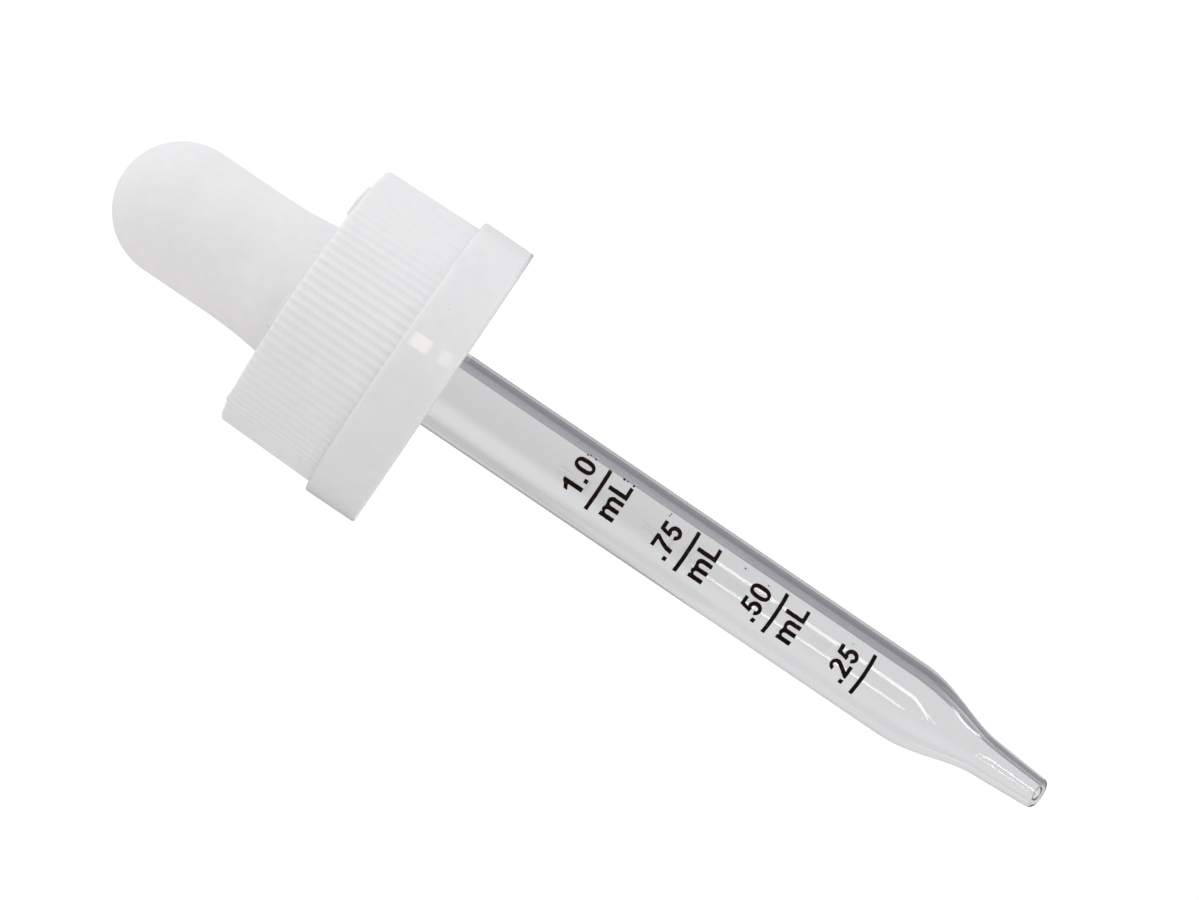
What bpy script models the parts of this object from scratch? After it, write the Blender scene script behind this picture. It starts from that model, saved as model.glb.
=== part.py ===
# Medicine dropper with a two-piece child-resistant closure for a 20-400 bottle neck.
# Upright, +Z along the axis from the glass tip to the bulb. The origin is on the axis, in the
# plane where the bulb's flange seals on the bottle's lip. Lengths below are in millimetres.

import math

import bmesh
import bpy
from mathutils import Matrix, Vector

MM = 0.001

# overall heights
CAP_TOP_Z = 6.5
CAP_BOTTOM_Z = -8.0
BULB_TOP_Z = 25.3
GLASS_TOP_Z = 5.8
GLASS_TIP_Z = -71.5

# outer cap: ribbed shell with a smooth band below it
RIB_COUNT = 100
RIB_DEPTH = 0.22
RIB_TOP_RADIUS = 12.95
RIB_FOOT_RADIUS = 13.2
RIB_FOOT_Z = -2.9
BAND_RADIUS = 14.0
CAP_EDGE = 0.25
TOP_PLATE = 1.2
CAP_HOLE_RADIUS = 7.2
SHELL_INNER_RADIUS = 11.45
BAND_INNER_RADIUS = 12.3
RETAINING_BEAD_RADIUS = 11.6

# inner cap: threaded, turned by the outer one when that is pushed down
DECK_BOTTOM_Z = 1.7
DECK_TOP_Z = 2.9
DECK_HOLE_RADIUS = 6.15
DECK_EDGE_RADIUS = 10.6
SKIRT_RADIUS = 11.1
SKIRT_LIP_RADIUS = 11.95
SKIRT_BOTTOM_Z = -7.4
LIP_HEIGHT = 1.0
THREAD_ROOT_RADIUS = 10.05
THREAD_CREST_RADIUS = 9.05
THREAD_PITCH = 25.4 / 8.0
THREAD_TURNS = 1.25
THREAD_START_Z = -6.2

# push-and-turn teeth, between the deck and the top plate
TOOTH_COUNT = 12
TOOTH_HEIGHT = 1.0
TOOTH_WIDTH_DEG = 9.0
TOOTH_INNER_RADIUS = 9.0
TOOTH_OUTER_RADIUS = 10.45

# rubber bulb
BULB_RADIUS = 6.08
BULB_INNER_RADIUS = 4.9
BULB_FOOT_RADIUS = 6.62
BULB_NECK_RADIUS = 5.9
BULB_BORE_RADIUS = 4.0
FLANGE_RADIUS = 8.7
FLANGE_THICKNESS = 1.5
BULB_FLARE_HEIGHT = 6.5

# glass pipette
TUBE_RADIUS = 3.75
TUBE_BORE_RADIUS = 2.93
FLARE_RADIUS = 4.5
SHOULDER_TOP_Z = -56.6
SHOULDER_FOOT_Z = -65.6
TIP_RADIUS = 1.45
TIP_BORE_RATIO = 0.7
NOZZLE_SLOPE = 0.07

# printed scale
SCALE_PITCH = 9.33
SCALE_FIRST_Z = GLASS_TIP_Z + 19.68
SCALE_NAMES = ("0_25", "0_50", "0_75", "1_00")
SCALE_LINE_LENGTH = 4.0
SCALE_LINE_WIDTH = 0.35
INK_GAP = 0.04
INK_THICKNESS = 0.08

# segments around
CAP_SIDES = 50
BULB_SIDES = 36
GLASS_SIDES = 36


def clear_scene():
    for item in list(bpy.context.scene.objects):
        bpy.data.objects.remove(item, do_unlink=True)


def make_material(name, colour, roughness, transmission=0.0, ior=1.5):
    material = bpy.data.materials.new(name)
    material.use_nodes = True
    shader = material.node_tree.nodes["Principled BSDF"]
    shader.inputs["Base Color"].default_value = (*colour, 1.0)
    shader.inputs["Roughness"].default_value = roughness
    shader.inputs["Metallic"].default_value = 0.0
    shader.inputs["Transmission Weight"].default_value = transmission
    shader.inputs["IOR"].default_value = ior
    material.diffuse_color = (*colour, 1.0)
    return material


def add_object(name, bm, material, sharp_deg=35.0):
    """Wrap a bmesh made in millimetres as a smooth-shaded object in metres."""
    bmesh.ops.recalc_face_normals(bm, faces=bm.faces)
    bmesh.ops.scale(bm, vec=(MM, MM, MM), verts=bm.verts)
    mesh = bpy.data.meshes.new(name)
    bm.to_mesh(mesh)
    bm.free()
    mesh.shade_smooth()
    mesh.set_sharp_from_angle(angle=math.radians(sharp_deg))
    item = bpy.data.objects.new(name, mesh)
    bpy.context.scene.collection.objects.link(item)
    if material is not None:
        mesh.materials.append(material)
    return item


def add_ring(bm, radius, z, sides, groove=0.0):
    """A level ring of points; with a groove depth, every second point is set in by it."""
    points = []
    for i in range(sides):
        reach = radius - (groove if i % 2 else 0.0)
        angle = 2.0 * math.pi * i / sides
        points.append(bm.verts.new((reach * math.cos(angle), reach * math.sin(angle), z)))
    return points


def join_rings(bm, fine, coarse):
    """Faces between two rings, one with a whole number of times the other's points."""
    if len(fine) < len(coarse):
        fine, coarse = coarse, fine
    ratio = len(fine) // len(coarse)
    middle = ratio // 2
    for i, near in enumerate(coarse):
        far = coarse[(i + 1) % len(coarse)]
        run = [fine[(i * ratio + k) % len(fine)] for k in range(ratio + 1)]
        for k in range(ratio):
            if k == middle:
                bm.faces.new((run[k], run[k + 1], far, near))
            else:
                bm.faces.new((run[k], run[k + 1], near if k < middle else far))


def turned_rings(rings):
    """A closed turned shape through rings of (radius, z, sides, groove), the last meeting the first."""
    bm = bmesh.new()
    loops = [add_ring(bm, *ring) for ring in rings]
    for one, other in zip(loops, loops[1:] + loops[:1]):
        join_rings(bm, one, other)
    return bm


def turned(profile, sides):
    """Spin a closed outline of (radius, z) points round the Z axis."""
    bm = bmesh.new()
    points = [bm.verts.new((radius, 0.0, z)) for radius, z in profile]
    edges = [bm.edges.new(pair) for pair in zip(points, points[1:] + points[:1])]
    bmesh.ops.spin(bm, geom=points + edges, cent=(0, 0, 0), axis=(0, 0, 1),
                   angle=2.0 * math.pi, steps=sides)
    bmesh.ops.remove_doubles(bm, verts=bm.verts, dist=1e-3)
    bmesh.ops.dissolve_degenerate(bm, edges=bm.edges, dist=1e-3)
    bare = [edge for edge in bm.edges if not edge.link_faces]
    bmesh.ops.delete(bm, geom=bare, context="EDGES")
    return bm


def arc(radius, centre, start_deg, end_deg, steps):
    """Points of (radius, z) along an arc about a centre given the same way."""
    points = []
    for i in range(steps + 1):
        angle = math.radians(start_deg + (end_deg - start_deg) * i / steps)
        points.append((centre[0] + radius * math.cos(angle), centre[1] + radius * math.sin(angle)))
    return points


def smooth_step(t):
    t = min(max(t, 0.0), 1.0)
    return t * t * (3.0 - 2.0 * t)


def union(target, tools):
    """Weld each tool onto the target with an exact Boolean, then drop the tool."""
    for tool in tools:
        weld = target.modifiers.new("weld_" + tool.name, "BOOLEAN")
        weld.operation = "UNION"
        weld.solver = "EXACT"
        weld.object = tool
        graph = bpy.context.evaluated_depsgraph_get()
        welded = bpy.data.meshes.new_from_object(target.evaluated_get(graph))
        target.modifiers.clear()
        target.data = welded
        bpy.data.objects.remove(tool, do_unlink=True)
    target.data.shade_smooth()
    target.data.set_sharp_from_angle(angle=math.radians(35.0))


def wedge_ring(name, inner, outer, foot_z, tip_z, first_deg, ramp):
    """Twelve driving teeth: a sloping back and an upright face, from foot_z out to tip_z."""
    bm = bmesh.new()
    half = math.radians(TOOTH_WIDTH_DEG / 2.0)
    for i in range(TOOTH_COUNT):
        centre = math.radians(first_deg + i * 360.0 / TOOTH_COUNT)
        corners = []
        for angle, z in ((-half, foot_z), (half, foot_z), (half * ramp, tip_z), (-half, tip_z)):
            for radius in (inner, outer):
                turn = centre + angle
                corners.append(bm.verts.new((radius * math.cos(turn), radius * math.sin(turn), z)))
        a0, a1, b0, b1, c0, c1, d0, d1 = corners
        for face in ((a0, a1, b1, b0), (b0, b1, c1, c0), (c0, c1, d1, d0), (d0, d1, a1, a0),
                     (a0, b0, c0, d0), (d1, c1, b1, a1)):
            bm.faces.new(face)
    return add_object(name, bm, None)


def make_outer_cap(material):
    ribs = 2 * RIB_COUNT
    plate_bottom = CAP_TOP_Z - TOP_PLATE
    rings = [
        (CAP_HOLE_RADIUS, plate_bottom, CAP_SIDES),
        (CAP_HOLE_RADIUS, CAP_TOP_Z, CAP_SIDES),
        (RIB_TOP_RADIUS - RIB_DEPTH - CAP_EDGE, CAP_TOP_Z, 2 * CAP_SIDES),
        (RIB_TOP_RADIUS, CAP_TOP_Z - CAP_EDGE, ribs, RIB_DEPTH),
        (RIB_FOOT_RADIUS, RIB_FOOT_Z, ribs, RIB_DEPTH),
        (BAND_RADIUS - CAP_EDGE, RIB_FOOT_Z, 2 * CAP_SIDES),
        (BAND_RADIUS - 0.05, RIB_FOOT_Z - CAP_EDGE, 2 * CAP_SIDES),
        (BAND_RADIUS, CAP_BOTTOM_Z + CAP_EDGE, 2 * CAP_SIDES),
        (BAND_RADIUS - CAP_EDGE, CAP_BOTTOM_Z, 2 * CAP_SIDES),
        (RETAINING_BEAD_RADIUS + 0.4, CAP_BOTTOM_Z, CAP_SIDES),
        (RETAINING_BEAD_RADIUS, CAP_BOTTOM_Z + 0.15, CAP_SIDES),
        (RETAINING_BEAD_RADIUS, CAP_BOTTOM_Z + 0.35, CAP_SIDES),
        (BAND_INNER_RADIUS, CAP_BOTTOM_Z + 0.8, CAP_SIDES),
        (BAND_INNER_RADIUS, RIB_FOOT_Z - 1.2, CAP_SIDES),
        (SHELL_INNER_RADIUS, RIB_FOOT_Z - 0.4, CAP_SIDES),
        (SHELL_INNER_RADIUS, plate_bottom - CAP_EDGE, CAP_SIDES),
        (SHELL_INNER_RADIUS - CAP_EDGE, plate_bottom, CAP_SIDES),
    ]
    cap = add_object("outer_cap", turned_rings(rings), material)
    lugs = wedge_ring("drive_lugs", TOOTH_INNER_RADIUS, SHELL_INNER_RADIUS + 0.2, plate_bottom + 0.3,
                      plate_bottom - TOOTH_HEIGHT, 180.0 / TOOTH_COUNT, 0.4)
    union(cap, [lugs])
    return cap


def make_thread():
    """One helical ridge, right-handed, that sinks into the wall at both ends."""
    bm = bmesh.new()
    steps = int(36 * THREAD_TURNS)
    base = THREAD_ROOT_RADIUS + 0.3
    previous = None
    first = None
    for i in range(steps + 1):
        t = i / steps
        angle = 2.0 * math.pi * THREAD_TURNS * t
        rise = THREAD_START_Z + THREAD_PITCH * THREAD_TURNS * t
        lead = smooth_step(min(t, 1.0 - t) * 8.0)
        crest = THREAD_ROOT_RADIUS + 0.1 + (THREAD_CREST_RADIUS - THREAD_ROOT_RADIUS - 0.1) * lead
        section = ((base, -1.0), (base, 1.0), (crest, 0.35), (crest, -0.35))
        ring = [bm.verts.new((r * math.cos(angle), r * math.sin(angle), rise + z)) for r, z in section]
        if previous is None:
            first = ring
        else:
            for k in range(4):
                bm.faces.new((previous[k], previous[(k + 1) % 4], ring[(k + 1) % 4], ring[k]))
        previous = ring
    bm.faces.new(first)
    bm.faces.new(previous[::-1])
    return add_object("thread_ridge", bm, None)


def make_inner_cap(material):
    profile = [
        (DECK_HOLE_RADIUS, DECK_BOTTOM_Z),
        (DECK_HOLE_RADIUS, DECK_TOP_Z),
        (DECK_EDGE_RADIUS, DECK_TOP_Z),
        (SKIRT_RADIUS, DECK_TOP_Z - 0.5),
        (SKIRT_RADIUS, SKIRT_BOTTOM_Z + LIP_HEIGHT + 0.5),
        (SKIRT_LIP_RADIUS, SKIRT_BOTTOM_Z + LIP_HEIGHT),
        (SKIRT_LIP_RADIUS, SKIRT_BOTTOM_Z + 0.3),
        (SKIRT_LIP_RADIUS - 0.3, SKIRT_BOTTOM_Z),
        (THREAD_ROOT_RADIUS + 0.25, SKIRT_BOTTOM_Z),
        (THREAD_ROOT_RADIUS, SKIRT_BOTTOM_Z + 0.25),
        (THREAD_ROOT_RADIUS, DECK_BOTTOM_Z),
    ]
    cap = add_object("inner_cap", turned(profile, CAP_SIDES), material)
    teeth = wedge_ring("ratchet_teeth", TOOTH_INNER_RADIUS, TOOTH_OUTER_RADIUS, DECK_TOP_Z - 0.3,
                       DECK_TOP_Z + TOOTH_HEIGHT, 0.0, 0.4)
    union(cap, [make_thread(), teeth])
    return cap


def make_rubber_bulb(material):
    dome_z = BULB_TOP_Z - BULB_RADIUS
    profile = arc(BULB_RADIUS, (0.0, dome_z), 90.0, 0.0, 9)
    flare_steps = 4
    for i in range(flare_steps + 1):
        t = i / flare_steps
        swell = (BULB_FOOT_RADIUS - BULB_RADIUS) * t ** 2
        profile.append((BULB_RADIUS + swell, CAP_TOP_Z + BULB_FLARE_HEIGHT * (1.0 - t)))
    profile += [
        (BULB_FOOT_RADIUS, DECK_TOP_Z + 0.2),
        (BULB_NECK_RADIUS, DECK_TOP_Z + 0.2),
        (BULB_NECK_RADIUS, FLANGE_THICKNESS),
        (FLANGE_RADIUS, FLANGE_THICKNESS),
        (FLANGE_RADIUS, 0.0),
        (BULB_BORE_RADIUS, 0.0),
        (BULB_BORE_RADIUS, GLASS_TOP_Z - 1.2),
        (BULB_INNER_RADIUS, GLASS_TOP_Z - 0.9),
    ]
    profile += arc(BULB_INNER_RADIUS, (0.0, dome_z), 0.0, 90.0, 7)
    return add_object("rubber_bulb", turned(profile, BULB_SIDES), material)


def nozzle_radius(z):
    """Outside radius of the glass from the straight tube down to the tip."""
    cone = TIP_RADIUS + NOZZLE_SLOPE * (z - GLASS_TIP_Z)
    blend = smooth_step((SHOULDER_TOP_Z - z) / (SHOULDER_TOP_Z - SHOULDER_FOOT_Z))
    return TUBE_RADIUS + (cone - TUBE_RADIUS) * blend


def bore_radius(z):
    """Inside radius there; the wall thickens towards the tip."""
    along = smooth_step((SHOULDER_TOP_Z - z) / (SHOULDER_TOP_Z - GLASS_TIP_Z))
    ratio = TUBE_BORE_RADIUS / TUBE_RADIUS
    return nozzle_radius(z) * (ratio + (TIP_BORE_RATIO - ratio) * along)


def make_glass_pipette(material):
    shoulder = [SHOULDER_TOP_Z + (SHOULDER_FOOT_Z - SHOULDER_TOP_Z) * i / 9 for i in range(10)]
    nozzle_foot = GLASS_TIP_Z + 0.25
    stations = shoulder + [0.5 * (SHOULDER_FOOT_Z + nozzle_foot), nozzle_foot]
    rim = GLASS_TOP_Z - 0.4
    profile = [
        (TUBE_BORE_RADIUS, GLASS_TOP_Z - 1.5),
        (0.5 * (TUBE_BORE_RADIUS + FLARE_RADIUS - 0.8), rim - 0.35),
    ]
    profile += arc(0.4, (FLARE_RADIUS - 0.4, rim), 180.0, 0.0, 5)
    profile += [(FLARE_RADIUS - 0.25, rim - 0.45), (TUBE_RADIUS, GLASS_TOP_Z - 1.45)]
    profile += [(nozzle_radius(z), z) for z in stations]
    profile += [(TIP_RADIUS - 0.15, GLASS_TIP_Z), (bore_radius(GLASS_TIP_Z) + 0.12, GLASS_TIP_Z)]
    profile += [(bore_radius(z), z) for z in reversed(stations)]
    return add_object("glass_pipette", turned(profile, GLASS_SIDES), material)


def make_scale_line(name, z, material):
    """One thin curved bar of ink, level, centred on the front (-Y) side of the tube."""
    bm = bmesh.new()
    inner = TUBE_RADIUS + INK_GAP
    outer = inner + INK_THICKNESS
    reach = math.asin(SCALE_LINE_LENGTH / 2.0 / inner)
    steps = 12
    rings = []
    for i in range(steps + 1):
        angle = -math.pi / 2.0 - reach + 2.0 * reach * i / steps
        ring = []
        for radius, height in ((inner, -0.5), (outer, -0.5), (outer, 0.5), (inner, 0.5)):
            place = (radius * math.cos(angle), radius * math.sin(angle), height * SCALE_LINE_WIDTH)
            ring.append(bm.verts.new(place))
        rings.append(ring)
    for one, other in zip(rings, rings[1:]):
        for k in range(4):
            bm.faces.new((one[k], one[(k + 1) % 4], other[(k + 1) % 4], other[k]))
    bm.faces.new(rings[0])
    bm.faces.new(rings[-1][::-1])
    line = add_object(name, bm, material)
    line.location = Vector((0.0, 0.0, z * MM))
    return line


def main():
    clear_scene()
    polypropylene = make_material("white_polypropylene", (0.86, 0.86, 0.87), 0.38)
    rubber = make_material("white_rubber", (0.80, 0.79, 0.78), 0.75)
    glass = make_material("clear_glass", (0.96, 0.98, 0.98), 0.02, 1.0, 1.5)
    ink = make_material("brown_black_ink", (0.02, 0.012, 0.009), 0.5)

    outer_cap = make_outer_cap(polypropylene)
    inner_cap = make_inner_cap(polypropylene)
    bulb = make_rubber_bulb(rubber)
    pipette = make_glass_pipette(glass)
    lines = []
    for i, label in enumerate(SCALE_NAMES):
        lines.append(make_scale_line("scale_line_" + label, SCALE_FIRST_Z + i * SCALE_PITCH, ink))

    for child, parent in [(pipette, inner_cap), (outer_cap, pipette), (bulb, pipette)]:
        child.parent = parent
    for line in lines:
        line.parent = pipette


main()
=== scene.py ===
import bmesh
import bpy
import math
from mathutils import Matrix, Vector, noise


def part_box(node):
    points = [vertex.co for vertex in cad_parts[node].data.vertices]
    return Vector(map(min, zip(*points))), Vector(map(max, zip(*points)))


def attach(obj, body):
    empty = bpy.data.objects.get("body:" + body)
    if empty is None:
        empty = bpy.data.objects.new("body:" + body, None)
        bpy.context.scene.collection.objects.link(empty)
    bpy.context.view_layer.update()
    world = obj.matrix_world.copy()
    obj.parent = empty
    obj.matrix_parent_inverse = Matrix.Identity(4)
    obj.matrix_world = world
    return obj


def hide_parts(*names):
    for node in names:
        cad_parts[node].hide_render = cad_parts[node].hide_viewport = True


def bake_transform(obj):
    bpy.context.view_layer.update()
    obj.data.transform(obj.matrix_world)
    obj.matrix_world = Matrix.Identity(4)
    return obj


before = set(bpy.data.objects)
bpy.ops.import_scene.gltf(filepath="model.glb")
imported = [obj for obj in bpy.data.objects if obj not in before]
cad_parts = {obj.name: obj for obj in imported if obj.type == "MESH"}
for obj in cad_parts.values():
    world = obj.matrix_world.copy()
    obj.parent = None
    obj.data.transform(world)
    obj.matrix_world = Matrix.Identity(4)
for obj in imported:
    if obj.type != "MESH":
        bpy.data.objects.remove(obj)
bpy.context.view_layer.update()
print("frame loaded:", len(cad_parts), "nodes")

mm = 0.001
capLow, capHigh = (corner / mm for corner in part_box("outer_cap"))
innerLow, innerHigh = (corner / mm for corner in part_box("inner_cap"))
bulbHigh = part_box("rubber_bulb")[1] / mm
glassLow, glassHigh = (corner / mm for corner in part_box("glass_pipette"))


# mesh tools: everything is in millimetres until finishObject

def finishObject(name, bm, materials, sharpAngle=38.0):
    bmesh.ops.recalc_face_normals(bm, faces=bm.faces)
    bmesh.ops.scale(bm, vec=(mm, mm, mm), verts=bm.verts)
    mesh = bpy.data.meshes.new(name)
    bm.to_mesh(mesh)
    bm.free()
    mesh.shade_smooth()
    mesh.set_sharp_from_angle(angle=math.radians(sharpAngle))
    for material in materials:
        mesh.materials.append(material)
    piece = bpy.data.objects.new(name, mesh)
    bpy.context.scene.collection.objects.link(piece)
    return piece


def roundedOutline(corners, arcSteps=4):
    # corners of (radius, height, fillet); each fillet becomes a short curve
    mostOfRun = 0.48                                     # two fillets on one run never meet
    points = []
    for i, (radius, height, fillet) in enumerate(corners):
        here = Vector((radius, height))
        if fillet <= 0.0:
            points.append((radius, height))
            continue
        before = Vector(corners[i - 1][:2]) - here
        after = Vector(corners[(i + 1) % len(corners)][:2]) - here
        reach = min(fillet, mostOfRun * before.length, mostOfRun * after.length)
        start = here + before.normalized() * reach
        end = here + after.normalized() * reach
        for k in range(arcSteps + 1):
            t = k / arcSteps
            point = start * (1 - t) ** 2 + here * 2 * t * (1 - t) + end * t ** 2
            points.append((point.x, point.y))
    return points


def withSupports(outline):
    # extra points close to both ends of each long straight run keep its shading flat
    gap = 0.12
    points = [outline[0]]
    for here, after in zip(outline, outline[1:]):
        run = Vector(after) - Vector(here)
        if run.length > 4 * gap:
            step = run.normalized() * gap
            points.append((here[0] + step.x, here[1] + step.y))
            points.append((after[0] - step.x, after[1] - step.y))
        points.append(after)
    return points


def joinRings(bm, fine, coarse, slot=0):
    # one ring has a whole number of times the other's points
    if len(fine) < len(coarse):
        fine, coarse = coarse, fine
    ratio = len(fine) // len(coarse)
    middle = ratio // 2
    for i, near in enumerate(coarse):
        far = coarse[(i + 1) % len(coarse)]
        run = [fine[(i * ratio + k) % len(fine)] for k in range(ratio + 1)]
        for k in range(ratio):
            if k == middle:
                face = bm.faces.new((run[k], run[k + 1], far, near))
            else:
                face = bm.faces.new((run[k], run[k + 1], near if k < middle else far))
            face.material_index = slot


def turnRing(bm, radius, height, sides, ripple=None):
    ring = []
    for i in range(sides):
        angle = 2 * math.pi * i / sides
        reach = radius - (ripple(angle) if ripple else 0.0)
        ring.append(bm.verts.new((reach * math.cos(angle), reach * math.sin(angle), height)))
    return ring


def turnedMesh(outline, sides):
    # the closed outline turned round the axis; a point on the axis stays one point
    onAxis = 1e-6
    bm = bmesh.new()
    rings = []
    for radius, height in outline:
        if radius < onAxis:
            rings.append([bm.verts.new((0, 0, height))])
        else:
            rings.append(turnRing(bm, radius, height, sides))
    for one, other in zip(rings, rings[1:] + rings[:1]):
        if len(one) == 1 and len(other) == 1:
            continue
        if len(one) == 1 or len(other) == 1:
            tip, ring = (one[0], other) if len(one) == 1 else (other[0], one)
            for i, corner in enumerate(ring):
                bm.faces.new((tip, corner, ring[(i + 1) % len(ring)]))
        else:
            joinRings(bm, one, other)
    return bm


def smoothStep(t):
    t = min(max(t, 0.0), 1.0)
    return t * t * (3 - 2 * t)


def addWedges(bm, wedge, footZ, tipZ, inner, outer, firstTurn):
    # the ring of push-and-turn teeth, a sloping back and an upright face on each
    half = math.radians(wedge["widthDeg"] / 2)
    for i in range(wedge["count"]):
        centre = math.radians(firstTurn + i * 360 / wedge["count"])
        corners = []
        for angle, z in ((-half, footZ), (half, footZ), (half * wedge["ramp"], tipZ), (-half, tipZ)):
            for radius in (inner, outer):
                turn = centre + angle
                corners.append(bm.verts.new((radius * math.cos(turn), radius * math.sin(turn), z)))
        a0, a1, b0, b1, c0, c1, d0, d1 = corners
        for face in ((a0, a1, b1, b0), (b0, b1, c1, c0), (c0, c1, d1, d0), (d0, d1, a1, a0),
                     (a0, b0, c0, d0), (d1, c1, b1, a1)):
            bm.faces.new(face)


# shader groups: each puts out a value or a mask that varies over the surface

def newGroup(name, inputs, outputs):
    group = bpy.data.node_groups.new(name, "ShaderNodeTree")
    for label, default in inputs:
        socket = group.interface.new_socket(name=label, in_out="INPUT", socket_type="NodeSocketFloat")
        socket.default_value = default
    for label, kind in outputs:
        group.interface.new_socket(name=label, in_out="OUTPUT", socket_type=kind)
    return group, group.nodes.new("NodeGroupInput"), group.nodes.new("NodeGroupOutput")


def addNode(tree, kind, settings=None, **values):
    node = tree.nodes.new(kind)
    for key, value in (settings or {}).items():
        setattr(node, key, value)
    for key, value in values.items():
        label = {"inA": 0, "inB": 1}.get(key, key)       # math nodes give all their inputs one name
        if isinstance(value, bpy.types.NodeSocket):
            tree.links.new(value, node.inputs[label])
        else:
            node.inputs[label].default_value = value
    return node


def addMath(tree, operation, a, b):
    return addNode(tree, "ShaderNodeMath", {"operation": operation}, inA=a, inB=b).outputs[0]


def addNoise(tree, place, scale, detail, roughness):
    node = addNode(tree, "ShaderNodeTexNoise", Vector=place, Scale=scale, Detail=detail, Roughness=roughness)
    return node.outputs["Fac"]


def smoothRange(tree, value, fromMin, fromMax, toMin=0.0, toMax=1.0):
    # a soft-ended ramp from one value to another
    limits = {"From Min": fromMin, "From Max": fromMax, "To Min": toMin, "To Max": toMax}
    ramp = addNode(tree, "ShaderNodeMapRange", {"interpolation_type": "SMOOTHSTEP"}, Value=value, **limits)
    return ramp.outputs["Result"]


def buildMouldGrain():
    # fine grain that a mould leaves, plus slow waviness, and a cloudy mottle for the colour
    group, given, result = newGroup("mouldGrain",
                                    [("Grain Scale", 4000.0), ("Wave Scale", 220.0), ("Wave Amount", 0.5),
                                     ("Mottle Scale", 900.0)],
                                    [("Height", "NodeSocketFloat"), ("Mottle", "NodeSocketFloat")])
    place = addNode(group, "ShaderNodeTexCoord").outputs["Object"]
    grain = addNoise(group, place, given.outputs["Grain Scale"], 3.0, 0.6)
    wave = addNoise(group, place, given.outputs["Wave Scale"], 1.0, 0.4)
    height = addMath(group, "ADD", grain, addMath(group, "MULTIPLY", wave, given.outputs["Wave Amount"]))
    group.links.new(addMath(group, "SUBTRACT", height, 0.5), result.inputs["Height"])
    mottle = addNoise(group, place, given.outputs["Mottle Scale"], 4.0, 0.65)
    group.links.new(mottle, result.inputs["Mottle"])
    return group


def buildHandlingDust():
    # sparse tiny specks and soft smudges
    group, given, result = newGroup("handlingDust",
                                    [("Speck Scale", 1500.0), ("Speck Size", 0.1), ("Speck Share", 0.03),
                                     ("Smudge Scale", 160.0)],
                                    [("Specks", "NodeSocketFloat"), ("Smudge", "NodeSocketFloat")])
    place = addNode(group, "ShaderNodeTexCoord").outputs["Object"]
    cells = addNode(group, "ShaderNodeTexVoronoi", {"feature": "F1"}, Vector=place,
                    Scale=given.outputs["Speck Scale"])
    near = addMath(group, "LESS_THAN", cells.outputs["Distance"], given.outputs["Speck Size"])
    pick = addNode(group, "ShaderNodeSeparateColor", Color=cells.outputs["Color"]).outputs["Red"]
    rare = addMath(group, "LESS_THAN", pick, given.outputs["Speck Share"])
    group.links.new(addMath(group, "MULTIPLY", near, rare), result.inputs["Specks"])
    smudge = addNoise(group, place, given.outputs["Smudge Scale"], 3.0, 0.55)
    group.links.new(smoothRange(group, smudge, 0.45, 0.75), result.inputs["Smudge"])
    return group


mouldGrain = buildMouldGrain()
handlingDust = buildHandlingDust()


def startMaterial(name, settings):
    material = bpy.data.materials.new(name)
    material.use_nodes = True
    tree = material.node_tree
    shader = tree.nodes["Principled BSDF"]
    for label, value in settings.items():
        shader.inputs[label].default_value = value
    material.diffuse_color = settings.get("Base Color", (0.8, 0.8, 0.8, 1.0))
    return material, tree, shader


def useGroup(tree, group, values):
    node = tree.nodes.new("ShaderNodeGroup")
    node.node_tree = group
    for label, value in values.items():
        node.inputs[label].default_value = value
    return node


def mixColour(tree, amount, dark, light):
    # a Mix node's colours A and B are inputs 6 and 7, and its colour result is output 2
    node = addNode(tree, "ShaderNodeMix", {"data_type": "RGBA"}, Factor=amount)
    for label, colour in ((6, dark), (7, light)):
        if isinstance(colour, bpy.types.NodeSocket):
            tree.links.new(colour, node.inputs[label])
        else:
            node.inputs[label].default_value = (*colour, 1.0)
    return node.outputs[2]


def addBump(tree, shader, height, distance):
    bump = addNode(tree, "ShaderNodeBump", Height=height, Strength=1.0, Distance=distance * mm)
    tree.links.new(bump.outputs["Normal"], shader.inputs["Normal"])


def addGrainAndDust(tree, look):
    grain = useGroup(tree, mouldGrain, {"Grain Scale": look["grainScale"], "Wave Scale": look["waveScale"],
                                        "Wave Amount": look["waveAmount"]})
    dust = useGroup(tree, handlingDust, {"Speck Scale": look["speckScale"], "Speck Size": look["speckSize"],
                                         "Speck Share": look["speckShare"],
                                         "Smudge Scale": look["smudgeScale"]})
    return grain, dust


def dustyColour(tree, shader, grain, dust, look):
    # a cloudy base, then soft smudges, then specks
    colour = mixColour(tree, grain.outputs["Mottle"], look["dark"], look["light"])
    smudges = addMath(tree, "MULTIPLY", dust.outputs["Smudge"], look["smudgeCover"])
    colour = mixColour(tree, smudges, colour, look["smudge"])
    specks = addMath(tree, "MULTIPLY", dust.outputs["Specks"], look["speckCover"])
    colour = mixColour(tree, specks, colour, look["speck"])
    tree.links.new(colour, shader.inputs["Base Color"])


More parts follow.
